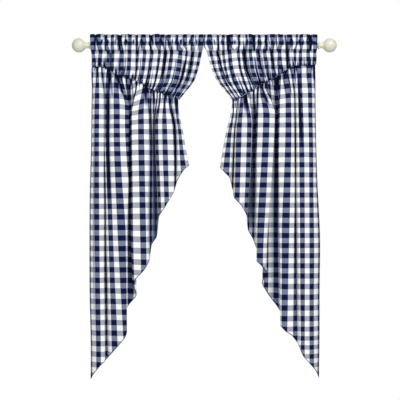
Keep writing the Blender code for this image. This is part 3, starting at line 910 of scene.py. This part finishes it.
def gingham():
    """Woven navy and white gingham."""
    nodes = Nodes("gingham_cotton")
    uv = nodes.add("ShaderNodeUVMap")
    uv.uv_map = "check"
    split = nodes.add("ShaderNodeSeparateXYZ", Vector=uv.outputs[0])
    across, down = split.outputs[0], split.outputs[1]
    slub = nodes.add("ShaderNodeTexNoise", Vector=uv.outputs[0], Scale=34.0, Detail=3.0)
    centred = nodes.maths("SUBTRACT", slub.outputs["Fac"], 0.5)
    wander = nodes.maths("MULTIPLY", centred, 0.02)
    warp = band(nodes, nodes.maths("ADD", across, wander), *WARP_BAND)
    weft = band(nodes, nodes.maths("SUBTRACT", down, wander), *WEFT_BAND)
    plain = nodes.mix(warp, WHITE, WARP_ONLY)
    crossed = nodes.mix(warp, WEFT_ONLY, NAVY)
    woven = nodes.mix(weft, plain, crossed)

    # Uneven yarn, seen in its tone and in the relief
    drawn_out = nodes.maths("MULTIPLY", down, 9.0)
    place = nodes.add("ShaderNodeCombineXYZ", X=across, Y=drawn_out).outputs[0]
    yarn = nodes.add("ShaderNodeTexNoise", Vector=place, Scale=30.0, Detail=4.0)
    mottle = nodes.ramp(yarn.outputs["Fac"], 0.3, 0.7, 0.80, 1.10)
    tint = nodes.add("ShaderNodeCombineXYZ", X=mottle, Y=mottle, Z=mottle)
    woven = nodes.mix(1.0, woven, tint.outputs[0], "MULTIPLY")

    # Painted shade in the folds and gathers, on faces that look to the front and sides
    painted_shade = nodes.add("ShaderNodeAttribute")
    painted_shade.attribute_name = "painted_shade"
    geometry = nodes.add("ShaderNodeNewGeometry")
    facing = nodes.add("ShaderNodeSeparateXYZ", Vector=geometry.outputs["Normal"])
    front = nodes.ramp(facing.outputs[1], 0.0, 0.4, 1.0, 0.0)
    dusk = nodes.maths("MULTIPLY", nodes.ramp(painted_shade.outputs["Fac"], 0.0, 0.55), front)
    dark = nodes.maths("MULTIPLY", nodes.ramp(painted_shade.outputs["Fac"], 0.3, 0.9), front)
    shaded = nodes.mix(dusk, woven, DUSK, "MULTIPLY")
    colour = nodes.mix(dark, shaded, DEEP)

    # Threads: two crossing sets of fine ridges, with the uneven yarn
    turn = 2.0 * math.pi
    ends = nodes.maths("SINE", nodes.maths("MULTIPLY", across, turn * THREADS_ACROSS))
    picks = nodes.maths("SINE", nodes.maths("MULTIPLY", down, turn * THREADS_DOWN))
    weave = nodes.maths("MULTIPLY", ends, picks)
    relief = nodes.maths("ADD", nodes.maths("MULTIPLY", weave, 0.25), yarn.outputs["Fac"])
    bump = nodes.add("ShaderNodeBump", Height=relief, Strength=0.25, Distance=BUMP_DEPTH)
    nodes.put(
        nodes.shader, Base_Color=colour, Roughness=0.92, Normal=bump.outputs[0],
        Specular_IOR_Level=0.06,
    )
    return nodes.material


def enamel(name, colour, roughness):
    """Ivory enamel, brushed on: a faint unevenness in tone and surface."""
    nodes = Nodes(name)
    place = nodes.add("ShaderNodeTexCoord")
    here = place.outputs["Object"]
    tone = nodes.add("ShaderNodeTexNoise", Vector=here, Scale=60.0, Detail=4.0)
    value = nodes.ramp(tone.outputs["Fac"], 0.3, 0.7, 0.965, 1.02)
    tint = nodes.add("ShaderNodeCombineXYZ", X=value, Y=value, Z=value)
    shade = nodes.mix(1.0, colour, tint.outputs[0], "MULTIPLY")
    ripple = nodes.add("ShaderNodeTexNoise", Vector=here, Scale=240.0, Detail=2.0)
    relief = ripple.outputs["Fac"]
    bump = nodes.add("ShaderNodeBump", Height=relief, Strength=0.12, Distance=BUMP_DEPTH)
    gloss = nodes.ramp(tone.outputs["Fac"], 0.25, 0.75, roughness - 0.04, roughness + 0.06)
    nodes.put(nodes.shader, Base_Color=shade, Roughness=gloss, Normal=bump.outputs[0])
    nodes.put(nodes.shader, Coat_Weight=0.15, Coat_Roughness=0.25)
    return nodes.material


def area_light(name, place, target, size, power):
    """A square soft light, aimed at a point."""
    data = bpy.data.lights.new(name, "AREA")
    data.shape = "SQUARE"
    data.size = size
    data.energy = power
    obj = bpy.data.objects.new(name, data)
    bpy.context.scene.collection.objects.link(obj)
    obj.location = place
    aim = np.array(target) - np.array(place)
    flat = math.hypot(aim[0], aim[1])
    obj.rotation_euler = (math.atan2(flat, -aim[2]), 0.0, math.atan2(-aim[0], aim[1]))


def surround(world):
    """A plain white surround that lights the object less brightly than it shows."""
    world.use_nodes = True
    tree = world.node_tree
    lighting = tree.nodes["Background"]
    lighting.inputs["Color"].default_value = PURE_WHITE
    lighting.inputs["Strength"].default_value = SURROUND_LIGHT
    seen = tree.nodes.new("ShaderNodeBackground")
    seen.inputs["Color"].default_value = PURE_WHITE
    seen.inputs["Strength"].default_value = 1.0
    path = tree.nodes.new("ShaderNodeLightPath")
    choose = tree.nodes.new("ShaderNodeMixShader")
    tree.links.new(path.outputs["Is Camera Ray"], choose.inputs[0])
    tree.links.new(lighting.outputs[0], choose.inputs[1])
    tree.links.new(seen.outputs[0], choose.inputs[2])
    tree.links.new(choose.outputs[0], tree.nodes["World Output"].inputs["Surface"])


def studio():
    """The surround, soft lights, a pale floor and the camera."""
    scene = bpy.context.scene
    scene.view_settings.view_transform = "Standard"
    scene.world = bpy.data.worlds.new("studio")
    surround(scene.world)
    for light in LIGHTS:
        area_light(*light)

    mesh = bpy.data.meshes.new("floor")
    corners = [
        (-FLOOR_SIDE, FLOOR_FRONT, 0.0),
        (FLOOR_SIDE, FLOOR_FRONT, 0.0),
        (FLOOR_SIDE, FLOOR_BACK, 0.0),
        (-FLOOR_SIDE, FLOOR_BACK, 0.0),
    ]
    mesh.from_pydata(corners, [], [(0, 1, 2, 3)])
    floor = bpy.data.objects.new("floor", mesh)
    scene.collection.objects.link(floor)
    floor.location = (0.0, 0.0, FLOOR_HEIGHT)
    nodes = Nodes("pale_floor")
    nodes.put(nodes.shader, Base_Color=PALE_FLOOR, Roughness=0.85)
    mesh.materials.append(nodes.material)

    camera = bpy.data.cameras.new("camera")
    camera.sensor_width = SENSOR_WIDTH
    camera.lens = SENSOR_WIDTH * CAMERA_DISTANCE / FRAME_WIDTH
    eye = bpy.data.objects.new("camera", camera)
    scene.collection.objects.link(eye)
    eye.location = (FRAME_CENTRE[0], -CAMERA_DISTANCE, FRAME_CENTRE[1])
    eye.rotation_euler = (math.pi / 2.0, 0.0, 0.0)
    scene.camera = eye


def finish_piece(obj, node, material):
    """Tie a piece to the CAD node that it stands for, with its material."""
    obj.data.materials.append(material)
    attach(obj, "root")
    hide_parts(node)


gingham_cotton = gingham()
ivory = enamel("ivory_finial", IVORY, 0.42)
ivory_rod = enamel("ivory_rod", IVORY, 0.3)

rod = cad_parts["rod"]
for place in rod.material_slots:
    place.material = ivory_rod

for name, side in (("finial_left", -1), ("finial_right", 1)):
    finish_piece(finial(name + "_turned", side), name, ivory)

for name, curtain in CURTAINS.items():
    piece = yoke("yoke_" + name + "_cloth", curtain)
    finish_piece(piece, "yoke_" + name, gingham_cotton)

for name, curtain in CURTAINS.items():
    piece = skirt("skirt_" + name + "_cloth", curtain)
    finish_piece(piece, "skirt_" + name, gingham_cotton)

studio()
